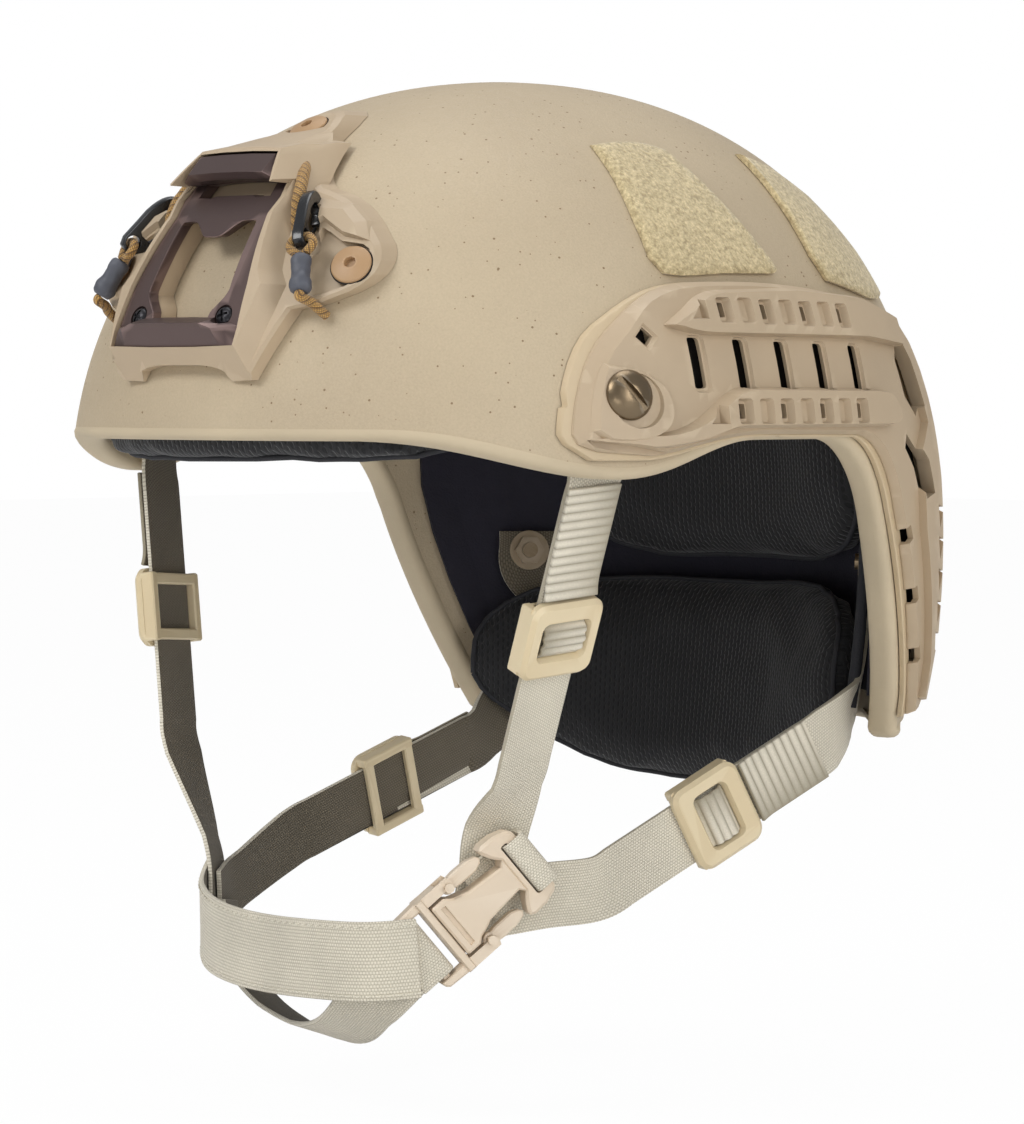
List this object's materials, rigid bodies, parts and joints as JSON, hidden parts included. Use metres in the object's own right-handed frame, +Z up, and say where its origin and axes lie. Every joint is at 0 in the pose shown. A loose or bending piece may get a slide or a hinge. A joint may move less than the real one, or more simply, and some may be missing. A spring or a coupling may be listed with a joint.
{
  "type": "combat helmet",
  "caption": "Sand-coloured protective helmet with side accessory rails, a front mounting shroud, snap-hook cords, a pad liner and a webbing chin harness with a side-release buckle.",
  "frame": {"origin": "middle of the head opening at the level of the brim, halfway along the shell", "axes": "+Z up through the crown, -Y the way the wearer looks, +X the wearer's left"},
  "size_m": [0.255, 0.2775, 0.2994],
  "materials": {
    "shell_paint": "flat sand paint over a moulded laminate shell",
    "edge_rubber": "matt sand rubber edging",
    "rail_plastic": "matt pinkish tan moulded plastic",
    "backing_plastic": "matt light tan plastic",
    "insert_metal": "dark bronze anodised, worn bright at the edges",
    "dark_steel": "dark coated steel",
    "black_steel": "black coated steel",
    "wire_steel": "bright spring wire",
    "bolt_paint": "matt tan paint on a metal cap",
    "cord_fabric": "golden brown braided sheath",
    "ferrule_rubber": "grey-blue heat-shrunk sleeve",
    "hook_plastic": "black moulded plastic",
    "patch_fabric": "sand loop pile",
    "pad_fabric": "black spacer mesh over foam",
    "band_plastic": "thin blue-black polymer sheet",
    "webbing_fabric": "grey-tan woven webbing",
    "adjuster_plastic": "cream moulded plastic, slightly shiny",
    "buckle_plastic": "cream moulded plastic"
  },
  "bodies": {
    "helmet": {"shell": "shell_paint", "edge_trim": "edge_rubber", "shroud_base": "rail_plastic", "shroud_insert": "insert_metal", "insert_screws": "black_steel", "shroud_bolts": "bolt_paint", "left_cord": "cord_fabric", "right_cord": "cord_fabric", "left_ferrule": "ferrule_rubber", "right_ferrule": "ferrule_rubber", "left_hook": "hook_plastic", "right_hook": "hook_plastic", "left_rail": "rail_plastic", "right_rail": "rail_plastic", "left_backing": "backing_plastic", "right_backing": "backing_plastic", "rail_bolts": "dark_steel", "rail_nuts": "dark_steel", "nape_bolts": "dark_steel", "nape_nuts": "dark_steel", "left_front_patch": "patch_fabric", "left_rear_patch": "patch_fabric", "right_front_patch": "patch_fabric", "right_rear_patch": "patch_fabric", "front_pad": "pad_fabric", "crown_pad": "pad_fabric", "left_side_pad": "pad_fabric", "right_side_pad": "pad_fabric", "rear_pad": "pad_fabric", "nape_pad": "pad_fabric", "nape_band": "band_plastic", "left_front_strap": "webbing_fabric", "left_rear_strap": "webbing_fabric", "right_front_strap": "webbing_fabric", "right_rear_strap": "webbing_fabric", "buckle_socket": "buckle_plastic", "socket_tab": "webbing_fabric", "buckle_plug": "buckle_plastic", "plug_tab": "webbing_fabric", "chin_strap": "webbing_fabric", "chin_sling": "webbing_fabric"},
    "left_front_adjuster": {"left_front_slider": "adjuster_plastic", "left_front_bight": "webbing_fabric"},
    "left_rear_adjuster": {"left_rear_slider": "adjuster_plastic", "left_rear_bight": "webbing_fabric"},
    "right_front_adjuster": {"right_front_slider": "adjuster_plastic", "right_front_bight": "webbing_fabric"},
    "right_rear_adjuster": {"right_rear_slider": "adjuster_plastic", "right_rear_bight": "webbing_fabric"},
    "upper_prong": {"upper_prong": "buckle_plastic"},
    "lower_prong": {"lower_prong": "buckle_plastic"},
    "left_gate": {"left_gate": "wire_steel"},
    "right_gate": {"right_gate": "wire_steel"}
  },
  "joints": [
    {"name": "left_front_slide", "type": "slide", "parent": "helmet", "child": "left_front_adjuster", "axis": [-0.4116, 0.1125, -0.9044], "range_m": [-0.012, 0.012]},
    {"name": "left_rear_slide", "type": "slide", "parent": "helmet", "child": "left_rear_adjuster", "axis": [-0.2841, -0.8325, -0.4757], "range_m": [-0.012, 0.012]},
    {"name": "right_front_slide", "type": "slide", "parent": "helmet", "child": "right_front_adjuster", "axis": [0.1321, -0.0206, -0.991], "range_m": [-0.012, 0.012]},
    {"name": "right_rear_slide", "type": "slide", "parent": "helmet", "child": "right_rear_adjuster", "axis": [-0.0405, -0.9452, -0.3241], "range_m": [-0.012, 0.012]},
    {"name": "upper_prong_flex", "type": "hinge", "parent": "helmet", "child": "upper_prong", "pos_m": [0.04284, -0.06655, -0.13489], "axis": [-0.866, 0.5, 0], "range_deg": [0, 8], "stiffness_Nm_per_rad": 0.02},
    {"name": "lower_prong_flex", "type": "hinge", "parent": "helmet", "child": "lower_prong", "pos_m": [0.04959, -0.05486, -0.15097], "axis": [0.866, -0.5, 0], "range_deg": [0, 8], "stiffness_Nm_per_rad": 0.02},
    {"name": "left_gate_hinge", "type": "hinge", "parent": "helmet", "child": "left_gate", "pos_m": [0.03677, -0.11769, 0.05893], "axis": [0.8952, 0.4177, 0.1554], "range_deg": [0, 13], "stiffness_Nm_per_rad": 0.01},
    {"name": "right_gate_hinge", "type": "hinge", "parent": "helmet", "child": "right_gate", "pos_m": [-0.03677, -0.11769, 0.05893], "axis": [0.8952, -0.4177, -0.1554], "range_deg": [0, 13], "stiffness_Nm_per_rad": 0.01}
  ]
}
